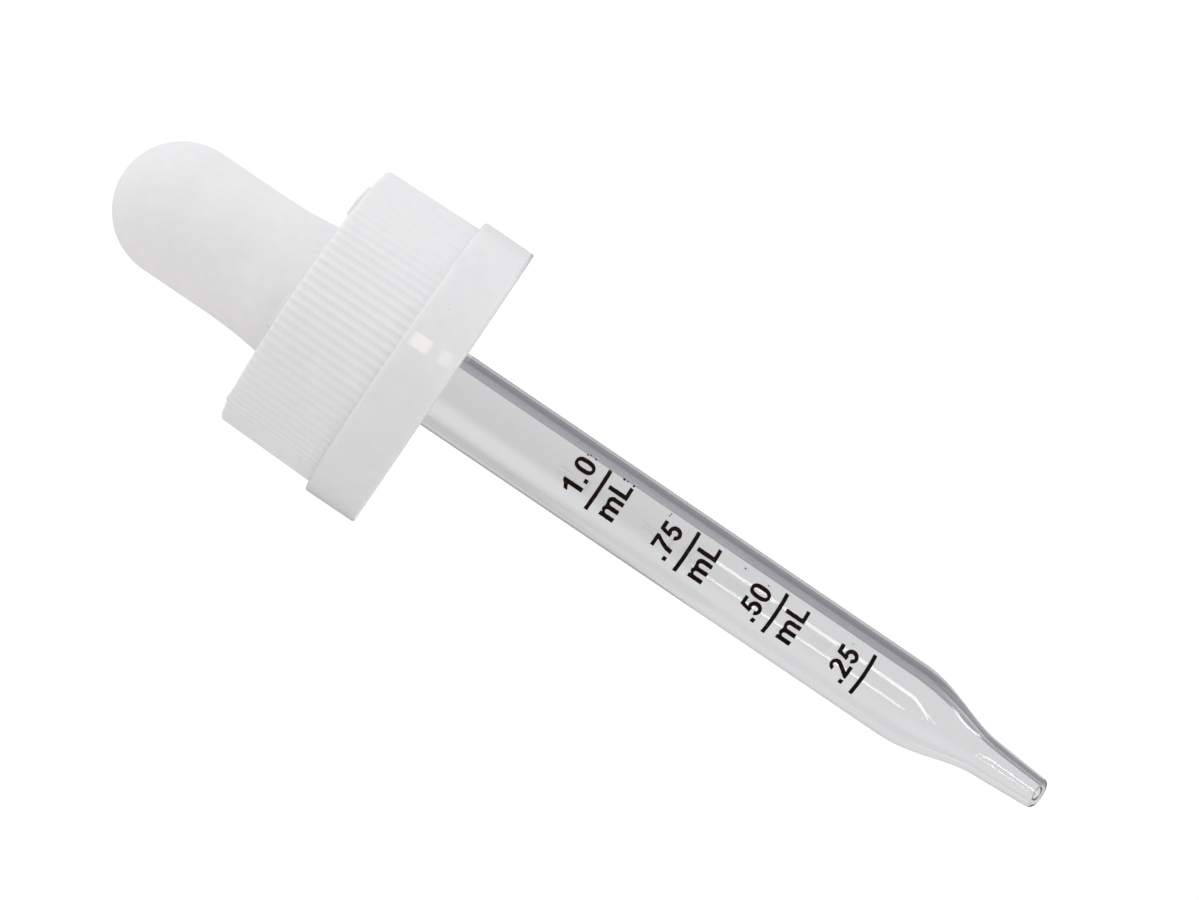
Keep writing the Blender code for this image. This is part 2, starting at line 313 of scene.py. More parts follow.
capPlasticLook = {
    "roughness": 0.34, "roughnessSpread": 0.12, "ior": 1.49, "subsurface": 0.2,
    "subsurfaceRadius": (0.0012, 0.0011, 0.001), "grainScale": 5200.0, "waveScale": 420.0, "waveAmount": 0.6,
    "bump": 0.006, "dark": (0.775, 0.775, 0.778), "light": (0.845, 0.845, 0.848),
    "smudge": (0.82, 0.81, 0.79), "smudgeCover": 0.35, "smudgeScale": 160.0,
    "speck": (0.45, 0.42, 0.4), "speckCover": 0.5, "speckScale": 900.0, "speckSize": 0.07,
    "speckShare": 0.03,
}
# the glossy band uses the cap's own white plastic, with its colours set darker than the ribbed zone's:
# painted shade
bandShadedPlasticLook = dict(capPlasticLook, roughness=0.008, roughnessSpread=0.012, grainScale=260.0,
                       waveScale=90.0, bump=0.0006, dark=(0.74, 0.74, 0.743), light=(0.81, 0.81, 0.813))
innerPlasticLook = dict(capPlasticLook, roughness=0.28, light=(0.85, 0.85, 0.85), dark=(0.79, 0.79, 0.79))


def mouldedPlastic(name, look):
    # white polypropylene: a faint cloudiness in the colour, grain in the gloss, tiny dust
    material, tree, shader = startMaterial(name, {
        "Roughness": look["roughness"], "IOR": look["ior"], "Subsurface Weight": look["subsurface"],
        "Subsurface Radius": look["subsurfaceRadius"], "Subsurface Scale": 1.0})
    grain, dust = addGrainAndDust(tree, look)
    dustyColour(tree, shader, grain, dust, look)
    spread = addMath(tree, "MULTIPLY", grain.outputs["Mottle"], look["roughnessSpread"])
    smear = addMath(tree, "MULTIPLY", dust.outputs["Smudge"], look["roughnessSpread"])
    rough = addMath(tree, "ADD", addMath(tree, "ADD", spread, smear), look["roughness"])
    tree.links.new(rough, shader.inputs["Roughness"])
    addBump(tree, shader, grain.outputs["Height"], look["bump"])
    return material


rubberLook = {
    "roughness": 0.62, "roughnessSpread": 0.2, "ior": 1.45, "subsurface": 0.12,
    "subsurfaceRadius": (0.0016, 0.0014, 0.0012), "sheen": 0.12, "sheenRoughness": 0.5,
    "grainScale": 3600.0, "waveScale": 500.0, "waveAmount": 0.7, "bump": 0.02,
    "dark": (0.77, 0.765, 0.765), "light": (0.845, 0.84, 0.84),
    "smudge": (0.87, 0.865, 0.86), "smudgeCover": 0.5, "smudgeScale": 190.0,
    "speck": (0.25, 0.24, 0.25), "speckCover": 0.5, "speckScale": 420.0, "speckSize": 0.08,
    "speckShare": 0.07,
}


def makeRubber():
    # matte rubber: fine grain, chalky bloom in soft patches, a few grey specks
    look = rubberLook
    material, tree, shader = startMaterial("bulbRubber", {
        "Roughness": look["roughness"], "IOR": look["ior"], "Subsurface Weight": look["subsurface"],
        "Subsurface Radius": look["subsurfaceRadius"], "Subsurface Scale": 1.0,
        "Sheen Weight": look["sheen"], "Sheen Roughness": look["sheenRoughness"]})
    grain, dust = addGrainAndDust(tree, look)
    dustyColour(tree, shader, grain, dust, look)
    spread = addMath(tree, "MULTIPLY", grain.outputs["Mottle"], look["roughnessSpread"])
    tree.links.new(addMath(tree, "ADD", spread, look["roughness"]), shader.inputs["Roughness"])
    addBump(tree, shader, grain.outputs["Height"], look["bump"])
    return material


glassLook = {"ior": 1.5, "tint": (0.99, 0.99, 0.992), "streakTint": 0.012, "streakScale": 900.0,
             "streakLength": 50.0, "streakBump": 0.004, "smearScale": 260.0, "smearRoughness": 0.012}


def makeGlass():
    # drawn tubing: faint streaks along its length and soft smears in the gloss
    look = glassLook
    material, tree, shader = startMaterial("drawnGlass", {"Roughness": 0.0, "IOR": look["ior"],
                                                          "Transmission Weight": 1.0})
    place = addNode(tree, "ShaderNodeTexCoord").outputs["Object"]
    stretch = addNode(tree, "ShaderNodeMapping", Vector=place, Scale=(1.0, 1.0, 1.0 / look["streakLength"]))
    streaks = addNoise(tree, stretch.outputs["Vector"], look["streakScale"], 2.0, 0.5)
    streakColour = tuple(channel - look["streakTint"] for channel in look["tint"])
    tree.links.new(mixColour(tree, streaks, streakColour, look["tint"]), shader.inputs["Base Color"])
    dust = useGroup(tree, handlingDust, {"Smudge Scale": look["smearScale"]})
    smears = addMath(tree, "MULTIPLY", dust.outputs["Smudge"], look["smearRoughness"])
    tree.links.new(smears, shader.inputs["Roughness"])
    addBump(tree, shader, streaks, look["streakBump"])
    return material


inkLook = {"dark": (0.003, 0.0012, 0.0008), "light": (0.016, 0.006, 0.004), "worn": (0.12, 0.07, 0.05),
           "specular": 0.05, "roughness": 0.3, "roughnessSpread": 0.3, "cloudScale": 2600.0,
           "holeScale": 5200.0, "holeFrom": 0.62, "holeTo": 0.74, "bump": 0.006}


def makeInk():
    # fired enamel: brown-black, thin at pinholes and worn spots
    look = inkLook
    material, tree, shader = startMaterial("firedInk", {"Roughness": look["roughness"],
                                                        "Specular IOR Level": look["specular"]})
    place = addNode(tree, "ShaderNodeTexCoord").outputs["Object"]
    cloud = addNoise(tree, place, look["cloudScale"], 4.0, 0.6)
    holes = addNoise(tree, place, look["holeScale"], 3.0, 0.6)
    thin = smoothRange(tree, holes, look["holeFrom"], look["holeTo"])
    colour = mixColour(tree, cloud, look["dark"], look["light"])
    tree.links.new(mixColour(tree, thin, colour, look["worn"]), shader.inputs["Base Color"])
    spread = addMath(tree, "MULTIPLY", cloud, look["roughnessSpread"])
    tree.links.new(addMath(tree, "ADD", spread, look["roughness"]), shader.inputs["Roughness"])
    addBump(tree, shader, cloud, look["bump"])
    return material


capPlastic = mouldedPlastic("capPlastic", capPlasticLook)
bandPlastic = mouldedPlastic("bandPlastic", bandShadedPlasticLook)
innerPlastic = mouldedPlastic("innerPlastic", innerPlasticLook)
bulbRubber = makeRubber()
drawnGlass = makeGlass()
firedInk = makeInk()
print("materials made")


# outer cap

outerCap = {
    "ribs": 100, "pointsPerRib": 10, "ribDepth": 0.1, "ribSharpness": 0.75, "ribRunOut": 0.7,
    "topRadius": 12.95, "footRadius": 13.2, "footZ": -2.9, "edge": 0.3, "bandEdge": 0.32, "plateRim": 1.0,
    "plateThickness": 1.2, "holeRadius": 7.2, "shellInner": 11.45, "bandInner": 12.3, "plainSides": 200,
    "ledgeHigh": 0.4, "ledgeLow": 1.2, "beadRadius": 11.6, "beadHeight": 0.8, "beadNose": 0.25,
    "insideFillet": 0.3, "beadFillet": 0.15,
}
driveTeeth = {"count": 12, "widthDeg": 9.0, "ramp": 0.4, "height": 1.0, "sunk": 0.3, "inner": 9.0,
              "capOuter": 11.65, "deckOuter": 10.45}
turnArrows = {"count": 5, "headDeg": -47.0, "tailDeg": -21.0, "headLengthDeg": 9.0, "inner": 10.5,
              "outer": 11.4, "headInner": 10.0, "headOuter": 11.9, "height": 0.42, "sunk": 0.2, "edge": 0.06,
              "steps": 12}


def ribRipple(angle):
    # narrow rounded ridges with wider valleys
    wave = 0.5 - 0.5 * math.cos(outerCap["ribs"] * angle)
    return outerCap["ribDepth"] * wave ** outerCap["ribSharpness"]


def makeOuterCap():
    cap = outerCap
    top, bottom = capHigh.z, capLow.z
    band = capHigh.x
    sides = cap["plainSides"]
    plateZ = top - cap["plateThickness"]
    ribSides = cap["ribs"] * cap["pointsPerRib"]
    bm = bmesh.new()
    plain, glossy = 0, 1                                 # material slots of the shell
    rings = []                                           # (ring, slot of the faces up to the next ring)
    wallFoot = (cap["bandInner"], bottom + cap["beadHeight"], cap["beadFillet"])
    ledge = (cap["bandInner"], cap["footZ"] - cap["ledgeLow"])
    inside = roundedOutline([
        wallFoot, (*ledge, cap["insideFillet"]),
        (cap["shellInner"], cap["footZ"] - cap["ledgeHigh"], cap["insideFillet"]),
        (cap["shellInner"], plateZ, cap["insideFillet"]), (cap["holeRadius"], plateZ, 0.12),
        (cap["holeRadius"], top, 0.18), (cap["topRadius"] - cap["plateRim"], top, 0.0)], 3)
    for radius, height in withSupports(inside[4:]):      # up the inside, out over the plate
        rings.append((turnRing(bm, radius, height, sides), plain))
    edgeSteps = 3
    for k in range(edgeSteps + 1):                       # over the ribbed edge
        turn = math.radians(90 * k / edgeSteps)
        radius = cap["topRadius"] - cap["edge"] * (1 - math.sin(turn))
        height = top - cap["edge"] * (1 - math.cos(turn))
        rings.append((turnRing(bm, radius, height, ribSides, ribRipple), plain))
    ribTop, ribFoot = top - cap["edge"], cap["footZ"] + 0.08
    for height in (ribTop - 0.15, ribFoot + 0.15, ribFoot):
        along = (ribTop - height) / (ribTop - ribFoot)
        radius = cap["topRadius"] + (cap["footRadius"] - cap["topRadius"]) * along
        rings.append((turnRing(bm, radius, height, ribSides, ribRipple), plain))
    rings.append((turnRing(bm, cap["footRadius"] + 0.06, cap["footZ"], ribSides,
                           lambda angle: cap["ribRunOut"] * ribRipple(angle)), glossy))
    outside = roundedOutline([
        (cap["footRadius"], cap["footZ"], 0.0), (band, cap["footZ"], cap["bandEdge"]), (band, bottom, 0.22),
        (cap["beadRadius"] + 0.35, bottom, 0.1), (cap["beadRadius"], bottom + cap["beadNose"], 0.12),
        wallFoot, (*ledge, 0.0)], 4)
    for radius, height in withSupports(outside[1:-1]):   # out over the band, down, and in to the bead
        slot = glossy if radius > cap["bandInner"] + 0.3 else plain
        rings.append((turnRing(bm, radius, height, sides), slot))
    for i, (ring, slot) in enumerate(rings):
        joinRings(bm, ring, rings[(i + 1) % len(rings)][0], slot)
    addWedges(bm, driveTeeth, plateZ + driveTeeth["sunk"], plateZ - driveTeeth["height"],
              driveTeeth["inner"], driveTeeth["capOuter"], 180 / driveTeeth["count"])
    return finishObject("outerCapShell", bm, [capPlastic, bandPlastic], 50.0)


def makeTurnArrows():
    # raised curved arrows on the top plate, pointing the way the cap closes
    spec = turnArrows
    low, high = capHigh.z - spec["sunk"], capHigh.z + spec["height"]
    steps, tail, head = spec["steps"], spec["tailDeg"], spec["headDeg"]
    neck = head + spec["headLengthDeg"]
    outline = [(spec["outer"], tail + (neck - tail) * k / steps) for k in range(steps + 1)]
    outline += [(spec["headOuter"], neck), (0.5 * (spec["outer"] + spec["inner"]), head),
                (spec["headInner"], neck)]
    outline += [(spec["inner"], neck + (tail - neck) * k / steps) for k in range(steps + 1)]
    bm = bmesh.new()
    for i in range(spec["count"]):
        footRing, topRing = [], []
        for radius, angle in outline:
            turn = math.radians(angle + 360 / spec["count"] * i)
            x, y = radius * math.cos(turn), radius * math.sin(turn)
            footRing.append(bm.verts.new((x, y, low)))
            topRing.append(bm.verts.new((x, y, high)))
        for k in range(len(outline)):
            m = (k + 1) % len(outline)
            bm.faces.new((footRing[k], footRing[m], topRing[m], topRing[k]))
        lid = bm.faces.new(topRing)
        bm.faces.new(footRing[::-1])
        bmesh.ops.bevel(bm, geom=list(lid.edges), offset=spec["edge"], segments=2, affect="EDGES")
    return finishObject("turnArrows", bm, [capPlastic], 45.0)


shell = makeOuterCap()
arrows = makeTurnArrows()
print("outer cap made")


# inner cap

innerCap = {"deckZ": 1.7, "deckTopZ": 2.9, "deckHole": 6.15, "deckEdge": 10.6, "skirt": 11.1,
            "shoulder": 0.5, "lipHeight": 1.0, "lipTaper": 0.5, "sides": 160}
neckThread = {"root": 10.05, "crest": 9.05, "pitch": 3.175, "turns": 1.25, "startZ": -6.2,
              "stepsPerTurn": 120, "leadShare": 0.1, "leadSunk": 0.08, "crestDeg": 65, "crestRound": 0.35,
              "crestHalf": 0.42, "footHalf": 1.0, "footDepth": 0.25}


def addThread(bm):
    # one right-handed ridge, sinking into the wall at both ends
    thread = neckThread
    steps = int(thread["stepsPerTurn"] * thread["turns"])
    foot = thread["root"] + thread["footDepth"]
    sunkCrest = thread["root"] + thread["leadSunk"]
    crestTurn = math.radians(thread["crestDeg"])
    rings = []
    for i in range(steps + 1):
        t = i / steps
        angle = 2 * math.pi * thread["turns"] * t
        rise = thread["startZ"] + thread["pitch"] * thread["turns"] * t
        crest = sunkCrest + (thread["crest"] - sunkCrest) * smoothStep(min(t, 1 - t) / thread["leadShare"])
        section = [(foot, -thread["footHalf"]), (foot, thread["footHalf"])]
        for k in range(7):                               # rounded crest
            turn = crestTurn * (1 - k / 3)
            section.append((crest + thread["crestRound"] * (1 - math.cos(turn)),
                            thread["crestHalf"] * math.sin(turn) / math.sin(crestTurn)))
        across, up = math.cos(angle), math.sin(angle)
        rings.append([bm.verts.new((r * across, r * up, rise + z)) for r, z in section])
    for one, other in zip(rings, rings[1:]):
        for k in range(len(one)):
            m = (k + 1) % len(one)
            bm.faces.new((one[k], one[m], other[m], other[k]))
    bm.faces.new(rings[0])
    bm.faces.new(rings[-1][::-1])


def makeInnerCap():
    cap = innerCap
    bottom, lip = innerLow.z, innerHigh.x
    root, deckTop = neckThread["root"], cap["deckTopZ"]
    lipTop = bottom + cap["lipHeight"]
    outline = roundedOutline([
        (cap["deckHole"], cap["deckZ"], 0.12), (cap["deckHole"], deckTop, 0.12),
        (cap["deckEdge"], deckTop, 0.25), (cap["skirt"], deckTop - cap["shoulder"], 0.25),
        (cap["skirt"], lipTop + cap["lipTaper"], 0.2), (lip, lipTop, 0.15), (lip, bottom + 0.1, 0.25),
        (lip - 0.2, bottom, 0.2), (root + 0.2, bottom, 0.15), (root, bottom + 0.25, 0.15),
        (root, cap["deckZ"], 0.2)])
    bm = turnedMesh(withSupports(outline), cap["sides"])
    addThread(bm)
    addWedges(bm, driveTeeth, deckTop - driveTeeth["sunk"], deckTop + driveTeeth["height"],
              driveTeeth["inner"], driveTeeth["deckOuter"], 0.0)
    return finishObject("innerCapBody", bm, [innerPlastic], 40.0)


threaded = makeInnerCap()
print("inner cap made")


# rubber bulb

bulbShape = {
    "radius": 6.08, "wall": 1.18, "footRadius": 6.6, "flareHeight": 6.6, "toe": 0.3, "toeSharpness": 24,
    "toeDepth": 0.5, "neckRadius": 5.9, "neckTopZ": 3.1, "flangeThickness": 1.5, "bore": 4.0,
    "boreTopZ": 4.6, "recessTopZ": 4.9, "domeSteps": 24, "insideSteps": 12, "flareSteps": 14, "sides": 128,
}


def makeBulb():
    shape = bulbShape
    radius, foot, flange = shape["radius"], shape["footRadius"], shape["flangeThickness"]
    inner = radius - shape["wall"]
    domeZ = bulbHigh.z - radius
    flareTop = capHigh.z + shape["flareHeight"]
    outline = []
    for k in range(shape["domeSteps"] + 1):
        turn = math.radians(90 - 90 * k / shape["domeSteps"])
        outline.append((radius * math.cos(turn), domeZ + radius * math.sin(turn)))
    for k in range(1, 6):                                # straight sides
        outline.append((radius, domeZ + (flareTop - domeZ) * k / 6))
    for k in range(shape["flareSteps"] + 1):             # flares out, and ends in a small toe at the cap
        t = k / shape["flareSteps"]
        swell = (foot - radius) * t ** 2 + shape["toe"] * t ** shape["toeSharpness"]
        outline.append((radius + swell, flareTop - shape["flareHeight"] * t))
    hidden = roundedOutline([
        (foot + shape["toe"], capHigh.z, 0.0), (foot, capHigh.z - shape["toeDepth"], 0.2),
        (foot, shape["neckTopZ"], 0.2), (shape["neckRadius"], shape["neckTopZ"], 0.15),
        (shape["neckRadius"], flange, 0.15), (bulbHigh.x, flange, 0.25), (bulbHigh.x, 0.0, 0.25),
        (shape["bore"], 0.0, 0.2), (shape["bore"], shape["boreTopZ"], 0.2),
        (inner, shape["recessTopZ"], 0.2), (inner, domeZ, 0.0)])
    outline += hidden[1:-1]
    for k in range(shape["insideSteps"] + 1):
        turn = math.radians(90 * k / shape["insideSteps"])
        outline.append((inner * math.cos(turn), domeZ + inner * math.sin(turn)))
    bm = turnedMesh(withSupports(outline), shape["sides"])
    return finishObject("bulbSkin", bm, [bulbRubber], 50.0)


bulb = makeBulb()
print("bulb made")


# glass pipette

pipette = {
    "bore": 2.93, "radius": 3.75, "shoulderTopZ": -56.6, "shoulderFootZ": -65.6, "tipRadius": 1.45,
    "tipBoreRatio": 0.7, "tipRound": 0.3, "tipWear": 0.22, "nozzleSlope": 0.07, "nozzleDrift": -0.22,
    "flare": 4.5, "flareHeight": 2.2, "bead": 0.4, "sides": 144, "nozzleSteps": 48, "tubeSteps": 6,
}


def nozzleRadius(z):
    cone = pipette["tipRadius"] + pipette["nozzleSlope"] * (z - glassLow.z)
    blend = smoothStep((pipette["shoulderTopZ"] - z) / (pipette["shoulderTopZ"] - pipette["shoulderFootZ"]))
    return pipette["radius"] + (cone - pipette["radius"]) * blend


def boreRadius(z):
    along = smoothStep((pipette["shoulderTopZ"] - z) / (pipette["shoulderTopZ"] - glassLow.z))
    ratio = pipette["bore"] / pipette["radius"]
    return nozzleRadius(z) * (ratio + (pipette["tipBoreRatio"] - ratio) * along)


def makePipette():
    shape = pipette
    top, tip, bore, flare, bead = glassHigh.z, glassLow.z, shape["bore"], shape["flare"], shape["bead"]
    shoulder, flareFoot = shape["shoulderTopZ"], top - shape["flareHeight"]
    nozzleFoot = tip + shape["tipRound"]
    run = shoulder - nozzleFoot
    nozzle = [shoulder - run * k / shape["nozzleSteps"] for k in range(shape["nozzleSteps"] + 1)]
    tube = [flareFoot + (shoulder - flareFoot) * k / shape["tubeSteps"] for k in range(shape["tubeSteps"])]
    outline = [(bore, top - 1.6), (bore + 0.12, top - 1.2)]
    for k in range(9):                                   # bead at the top, inside the bulb
        turn = math.radians(180 - 180 * k / 8)
        outline.append((flare - bead + bead * math.cos(turn), top - bead + bead * math.sin(turn)))
    outline += [(flare - 0.1, top - bead - 0.3), (shape["radius"] + 0.1, top - 1.3)]
    outline += [(shape["radius"], z) for z in tube]
    outline += [(nozzleRadius(z), z) for z in nozzle]
    for k in range(1, 5):                                # fire-polished end
        turn = math.radians(90 * k / 4)
        outline.append((nozzleRadius(tip) - shape["tipWear"] * (1 - math.cos(turn)),
                        nozzleFoot - shape["tipRound"] * math.sin(turn)))
    innerTip = boreRadius(tip) + 0.1
    outline += [(innerTip + 0.08, tip), (innerTip, tip + 0.08)]
    outline += [(boreRadius(z), z) for z in reversed(nozzle)]
    outline += [(bore, z) for z in reversed(tube)]
    bm = turnedMesh(outline, shape["sides"])
    for vert in bm.verts:                                # a hand-drawn nozzle is never quite on the axis
        vert.co.x += shape["nozzleDrift"] * smoothStep((shoulder - vert.co.z) / run)
    return finishObject("pipetteGlass", bm, [drawnGlass], 60.0)


glass = makePipette()
print("pipette made")


# printed scale

scalePrint = {
    "lineLength": 3.95, "lineWidth": 0.37, "lift": 0.02, "thickness": 0.04, "drift": 0.0126, "driftZ": -41.8,
    "height": 1.95, "smallHeight": 1.45, "stroke": 0.39, "bar": 0.35, "figureBase": 1.12, "unitBase": -2.55,
    "figurePlaces": (-1.76, -1.2, 0.15), "unitPlaces": (-1.68, 0.54), "roughness": 0.02,
    "roughScale": 4.1, "pointSpacing": 0.09, "bendSpacing": 0.25, "seed": 11,
}
scaleMarks = [
    # specks of stray ink as (across, up, size)
    {"node": "scale_line_1_00", "figures": "1.0", "places": (-1.5, -0.18, 0.46), "unit": True,
     "specks": ((2.05, 1.6, 0.07), (2.12, 2.15, 0.05), (2.0, 2.4, 0.06), (2.0, -1.4, 0.09),
                (2.02, -1.75, 0.06), (1.98, -2.4, 0.08))},
    {"node": "scale_line_0_75", "figures": ".75", "unit": True,
     "specks": ((1.72, 2.95, 0.05), (1.93, 2.9, 0.05))},
    {"node": "scale_line_0_50", "figures": ".50", "unit": True,
     "specks": ((1.75, 4.3, 0.06), (1.65, 1.8, 0.05))},
    {"node": "scale_line_0_25", "figures": ".25", "unit": False, "specks": ((1.7, 2.2, 0.04),)},
]


def arcPoints(centre, reach, fromDeg, toDeg, steps=12):
    points = []
    for k in range(steps + 1):
        turn = math.radians(fromDeg + (toDeg - fromDeg) * k / steps)
        points.append((centre[0] + reach[0] * math.cos(turn), centre[1] + reach[1] * math.sin(turn)))
    return points


def ovalPoints(centre, reach):
    # an oval with slightly square shoulders
    fullness, steps = 2.5, 40
    points = []
    for k in range(steps):
        turn = 2 * math.pi * k / steps
        x, y = math.cos(turn), math.sin(turn)
        points.append((centre[0] + reach[0] * math.copysign(abs(x) ** (2 / fullness), x),
                       centre[1] + reach[1] * math.copysign(abs(y) ** (2 / fullness), y)))
    return points


def figureOutlines(figure):
    # plain bold figures, each as closed outlines from its lower left corner
    tall, small = scalePrint["height"], scalePrint["smallHeight"]
    stroke, bar = scalePrint["stroke"], scalePrint["bar"]
    if figure == ".":
        return [[(0, 0), (0, stroke * 0.95), (stroke * 0.95, stroke * 0.95), (stroke * 0.95, 0)]]
    if figure == "0":
        across, up = 0.61, tall / 2
        return [ovalPoints((across, up), (across, up)),
                ovalPoints((across, up), (across - stroke * 0.95, up - bar * 0.85))]
    if figure == "1":
        stem = 0.88
        return [[(stem, 0), (stem, tall), (stem - 0.3, tall), (stem - 0.52, tall - 0.27), (0, tall - 0.48),
                 (0, tall - 0.84), (stem - stroke, tall - 0.6), (stem - stroke, 0)]]
    if figure == "2":
        outer = arcPoints((0.58, tall - 0.56), (0.56, 0.56), 176, -38)
        inner = arcPoints((0.57, tall - 0.55), (0.2, 0.25), -40, 172)
        return [outer + [(0.56, bar), (1.17, bar), (1.17, 0), (0, 0), (0.02, 0.2)] + inner]
    if figure == "5":
        inner = arcPoints((0.56, 0.64), (0.22, 0.3), 140, -165)
        outer = arcPoints((0.57, 0.64), (0.6, 0.64), -165, 108)
        return [[(1.1, tall), (0.24, tall), (0.04, 0.9), (0.36, 0.84)] + inner + outer
                + [(0.42, 1.22), (0.52, tall - bar), (1.1, tall - bar)]]
    if figure == "7":
        return [[(0, tall), (1.17, tall), (1.17, tall - bar * 0.85), (0.86, tall - 0.84),
                 (0.68, tall - 1.34), (0.6, 0), (0.2, 0), (0.28, tall - 1.34), (0.5, tall - 0.8),
                 (0.74, tall - bar), (0, tall - bar)]]
    if figure == "L":
        return [[(0, 0), (1.18, 0), (1.18, bar), (stroke, bar), (stroke, tall), (0, tall)]]
    if figure == "m":
        width = 1.95
        step = 0.5 * (width - stroke)
        gap, archZ, lobeZ = 0.5 * (step - stroke), small - 0.55, small - 0.45
        outline = [(0, 0), (0, small - 0.03), (stroke * 0.92, small - 0.03), (stroke * 0.94, small - 0.2)]
        outline += arcPoints((stroke + 0.3, lobeZ), (0.36, 0.45), 128, 52, 6)
        outline += arcPoints((stroke + step + 0.3, lobeZ), (width - stroke - step - 0.3, 0.45), 122, 0, 8)
        outline += [(width, 0), (width - stroke, 0)]
        outline += arcPoints((width - 0.5 * (stroke + step), archZ), (gap, 0.22), 0, 180, 6)
        outline += [(step + stroke, 0), (step, 0)]
        outline += arcPoints((0.5 * (stroke + step), archZ), (gap, 0.22), 0, 180, 6)
        return [outline + [(stroke, 0)]]


def barOutline(length, width):
    x, y = length / 2, width / 2
    return [(-x, -y), (x, -y), (x, y), (-x, y)]


def roughened(outline, seed):
    # prints never have a clean edge: extra points, each a little off
    amount, scale = scalePrint["roughness"], scalePrint["roughScale"]
    points = []
    for here, after in zip(outline, outline[1:] + outline[:1]):
        here, after = Vector(here), Vector(after)
        count = max(1, round((after - here).length / scalePrint["pointSpacing"]))
        for k in range(count):
            point = here.lerp(after, k / count)
            shift = noise.noise_vector((point.x * scale + seed, point.y * scale, seed * 0.37))
            points.append((point.x + amount * shift.x, point.y + amount * shift.y))
    return points


def filledInk(outlines, seed):
    # flat ink: x across and y up the tube, in millimetres, filled and given its thickness
    curve = bpy.data.curves.new("ink", "CURVE")
    curve.dimensions = "2D"
    curve.fill_mode = "BOTH"
    curve.extrude = scalePrint["thickness"] / 2
    for outline in outlines:
        points = roughened(outline, seed)
        spline = curve.splines.new("POLY")
        spline.points.add(len(points) - 1)
        for point, (x, y) in zip(spline.points, points):
            point.co = (x, y, 0, 1)
        spline.use_cyclic_u = True
    temporary = bpy.data.objects.new("ink", curve)
    bpy.context.scene.collection.objects.link(temporary)
    graph = bpy.context.evaluated_depsgraph_get()
    mesh = bpy.data.meshes.new_from_object(temporary.evaluated_get(graph))
    ink = bmesh.new()
    ink.from_mesh(mesh)
    bpy.data.objects.remove(temporary, do_unlink=True)
    bpy.data.meshes.remove(mesh)
    bpy.data.curves.remove(curve)
    bmesh.ops.remove_doubles(ink, verts=ink.verts, dist=1e-4)
    return ink


def layRoundTube(ink, centre):
    # cut into narrow strips, so that it can bend, and laid round the front of the tube
    step = scalePrint["bendSpacing"]
    x = min(vert.co.x for vert in ink.verts) + step
    while x < max(vert.co.x for vert in ink.verts):
        geometry = ink.verts[:] + ink.edges[:] + ink.faces[:]
        bmesh.ops.bisect_plane(ink, geom=geometry, plane_co=(x, 0, 0), plane_no=(1, 0, 0), dist=1e-5)
        x += step
    base = pipette["radius"] + scalePrint["lift"]
    for vert in ink.verts:
        angle = math.asin((centre + vert.co.x) / base) - math.pi / 2
        reach = base + vert.co.z + scalePrint["thickness"] / 2
        vert.co = Vector((reach * math.cos(angle), reach * math.sin(angle), vert.co.y))


def makeScaleMark(mark):
    low, high = (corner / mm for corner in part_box(mark["node"]))
    z = 0.5 * (low.z + high.z)
    centre = scalePrint["drift"] * (z - scalePrint["driftZ"])
    places = mark.get("places", scalePrint["figurePlaces"])
    lettering = [(figure, place, scalePrint["figureBase"]) for figure, place in zip(mark["figures"], places)]
    for figure, place in zip("mL" if mark["unit"] else "", scalePrint["unitPlaces"]):
        lettering.append((figure, place, scalePrint["unitBase"]))
    shapes = [[barOutline(scalePrint["lineLength"], scalePrint["lineWidth"])]]
    for figure, place, base in lettering:
        shapes.append([[(x + place, y + base) for x, y in outline] for outline in figureOutlines(figure)])
    for x, y, size in mark["specks"]:
        shapes.append([arcPoints((x, y), (size, size * 1.4), 0, 315, 7)])
    bm = bmesh.new()
    for i, outlines in enumerate(shapes):
        ink = filledInk(outlines, z + 3.3 * i)           # each with a rough edge of its own
        layRoundTube(ink, centre)
        part = bpy.data.meshes.new("ink")
        ink.to_mesh(part)
        ink.free()
        bm.from_mesh(part)
        bpy.data.meshes.remove(part)
    bmesh.ops.translate(bm, vec=(0, 0, z), verts=bm.verts)
    return finishObject("print" + mark["node"].replace("scale_line", ""), bm, [firedInk], 30.0)


noise.seed_set(scalePrint["seed"])                       # the same rough edges in every run
prints = [makeScaleMark(mark) for mark in scaleMarks]
print("scale printed")


# what moves with what

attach(shell, "outer_cap")
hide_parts("outer_cap")
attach(arrows, "outer_cap")
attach(threaded, "inner_cap")
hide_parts("inner_cap")
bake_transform(bulb)
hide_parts("rubber_bulb")
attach(glass, "pipette")
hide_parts("glass_pipette")
for mark, piece in zip(scaleMarks, prints):
    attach(piece, "pipette")
    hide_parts(mark["node"])
print("pieces riding on their bodies")


# camera

cameraSpec = {"distance": 200.0, "height": -8.4, "aim": (3.19, -17.85), "rollDeg": 55.82,
              "focalLength": 68.87, "sensor": 36.0, "shift": (0.0345, -0.0235), "clip": (0.005, 20.0)}


def makeCamera():
    data = bpy.data.cameras.new("camera")
    camera = bpy.data.objects.new("camera", data)
    bpy.context.scene.collection.objects.link(camera)
    place = Vector((0.0, -cameraSpec["distance"], cameraSpec["height"])) * mm
    target = Vector((cameraSpec["aim"][0], 0.0, cameraSpec["aim"][1])) * mm
    level = (target - place).to_track_quat("-Z", "Y").to_matrix().to_4x4()
    roll = Matrix.Rotation(-math.radians(cameraSpec["rollDeg"]), 4, "Z")
    camera.matrix_world = Matrix.Translation(place) @ level @ roll
    data.lens = cameraSpec["focalLength"]
    data.sensor_width = cameraSpec["sensor"]
    data.shift_x, data.shift_y = cameraSpec["shift"]
    data.clip_start, data.clip_end = cameraSpec["clip"]
    bpy.context.scene.camera = camera


makeCamera()


# studio: places and sizes in millimetres

